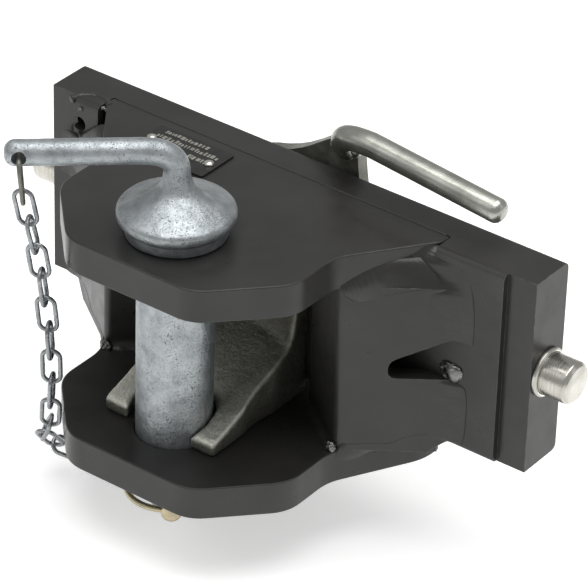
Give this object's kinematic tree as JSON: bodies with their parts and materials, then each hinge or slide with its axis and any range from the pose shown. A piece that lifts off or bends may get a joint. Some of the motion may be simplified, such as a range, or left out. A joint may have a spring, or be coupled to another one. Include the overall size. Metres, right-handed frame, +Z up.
{
  "type": "ladder-rail clevis trailer hitch",
  "caption": "Tractor clevis hitch: rail slide plate with sprung locking bolts and rear lever, and a two-plate jaw with a chained drop pin, linch pin and guide casting.",
  "frame": {"origin": "middle of the slide plate's lower rear edge, where the plate sits in the vehicle's ladder rails", "axes": "+X along the slide plate to the right seen from the trailer, +Y towards the vehicle, +Z up"},
  "size_m": [0.368, 0.194, 0.2457],
  "materials": {
    "black_paint": "satin black paint over welded plate, slightly uneven",
    "raw_casting": "raw sand-cast surface with bright worn edges",
    "zinc_plated": "blue-white zinc plating over a pitted forging",
    "bright_steel": "bright turned steel",
    "satin_steel": "satin bar steel with a grey-olive cast",
    "dark_steel": "dark oiled steel",
    "yellow_zinc": "pale yellow zinc plating",
    "label_black": "black printed metal plate"
  },
  "bodies": {
    "frame": {"slide_plate": "black_paint", "upper_jaw_plate": "black_paint", "lower_jaw_plate": "black_paint", "left_side_wall": "black_paint", "right_side_wall": "black_paint", "guide_casting": "raw_casting", "left_guide_screw": "dark_steel", "right_guide_screw": "dark_steel", "data_plate": "label_black", "left_label_rivet": "bright_steel", "right_label_rivet": "bright_steel", "left_bolt_collar": "bright_steel", "right_bolt_collar": "bright_steel", "left_bolt_spring": "dark_steel", "right_bolt_spring": "dark_steel", "lever_pivot_bolt": "satin_steel", "lever_pivot_spacer": "satin_steel", "lever_pivot_washer": "satin_steel"},
    "lever": {"lever_cam_plate": "dark_steel", "lever_bar": "satin_steel"},
    "left_bolt": {"left_locking_bolt": "bright_steel", "left_drive_pin": "dark_steel"},
    "right_bolt": {"right_locking_bolt": "bright_steel", "right_drive_pin": "dark_steel"},
    "coupling_pin": {"coupling_pin": "zinc_plated"},
    "linch_pin": {"linch_pin": "yellow_zinc"},
    "linch_ring": {"linch_ring": "yellow_zinc"},
    "chain": {"handle_loop": "dark_steel", "chain_link_01": "zinc_plated", "chain_link_02": "zinc_plated", "chain_link_03": "zinc_plated", "chain_link_04": "zinc_plated", "chain_link_05": "zinc_plated", "chain_link_06": "zinc_plated", "chain_link_07": "zinc_plated", "chain_link_08": "zinc_plated", "chain_link_09": "zinc_plated", "chain_link_10": "zinc_plated", "chain_link_11": "zinc_plated", "chain_link_12": "zinc_plated", "chain_link_13": "zinc_plated", "chain_link_14": "zinc_plated"}
  },
  "joints": [
    {"name": "lever_turn", "type": "hinge", "parent": "frame", "child": "lever", "pos_m": [0, 0.008, 0.058], "axis": [0, -1, 0], "range_deg": [0, 38]},
    {"name": "left_bolt_slide", "type": "slide", "parent": "frame", "child": "left_bolt", "axis": [1, 0, 0], "range_m": [0, 0.022], "stiffness_N_per_m": 1500, "springref_m": -0.02, "deforming": ["left_bolt_spring"]},
    {"name": "right_bolt_slide", "type": "slide", "parent": "frame", "child": "right_bolt", "axis": [-1, 0, 0], "range_m": [0, 0.022], "stiffness_N_per_m": 1500, "springref_m": -0.02, "deforming": ["right_bolt_spring"]},
    {"name": "pin_lift", "type": "slide", "parent": "frame", "child": "coupling_pin", "axis": [0, 0, 1], "range_m": [0, 0.012]},
    {"name": "linch_pull", "type": "slide", "parent": "coupling_pin", "child": "linch_pin", "axis": [0.5878, -0.809, 0], "range_m": [0, 0.06]},
    {"name": "ring_flip", "type": "hinge", "parent": "linch_pin", "child": "linch_ring", "pos_m": [0.00093, -0.12855, -0.044], "axis": [-0.809, -0.5878, 0], "range_deg": [0, 160]},
    {"name": "chain_swing", "type": "hinge", "parent": "coupling_pin", "child": "chain", "pos_m": [-0.07664, -0.16245, 0.1685], "axis": [-0.6561, 0.7547, 0], "range_deg": [0, 75]}
  ],
  "couplings": [
    {"joint": "left_bolt_slide", "follows": "lever_turn", "m_per_rad": 0.03317},
    {"joint": "right_bolt_slide", "follows": "lever_turn", "m_per_rad": 0.03317},
    {"joint": "ring_flip", "follows": "linch_pull", "rad_per_m": 46.54}
  ]
}
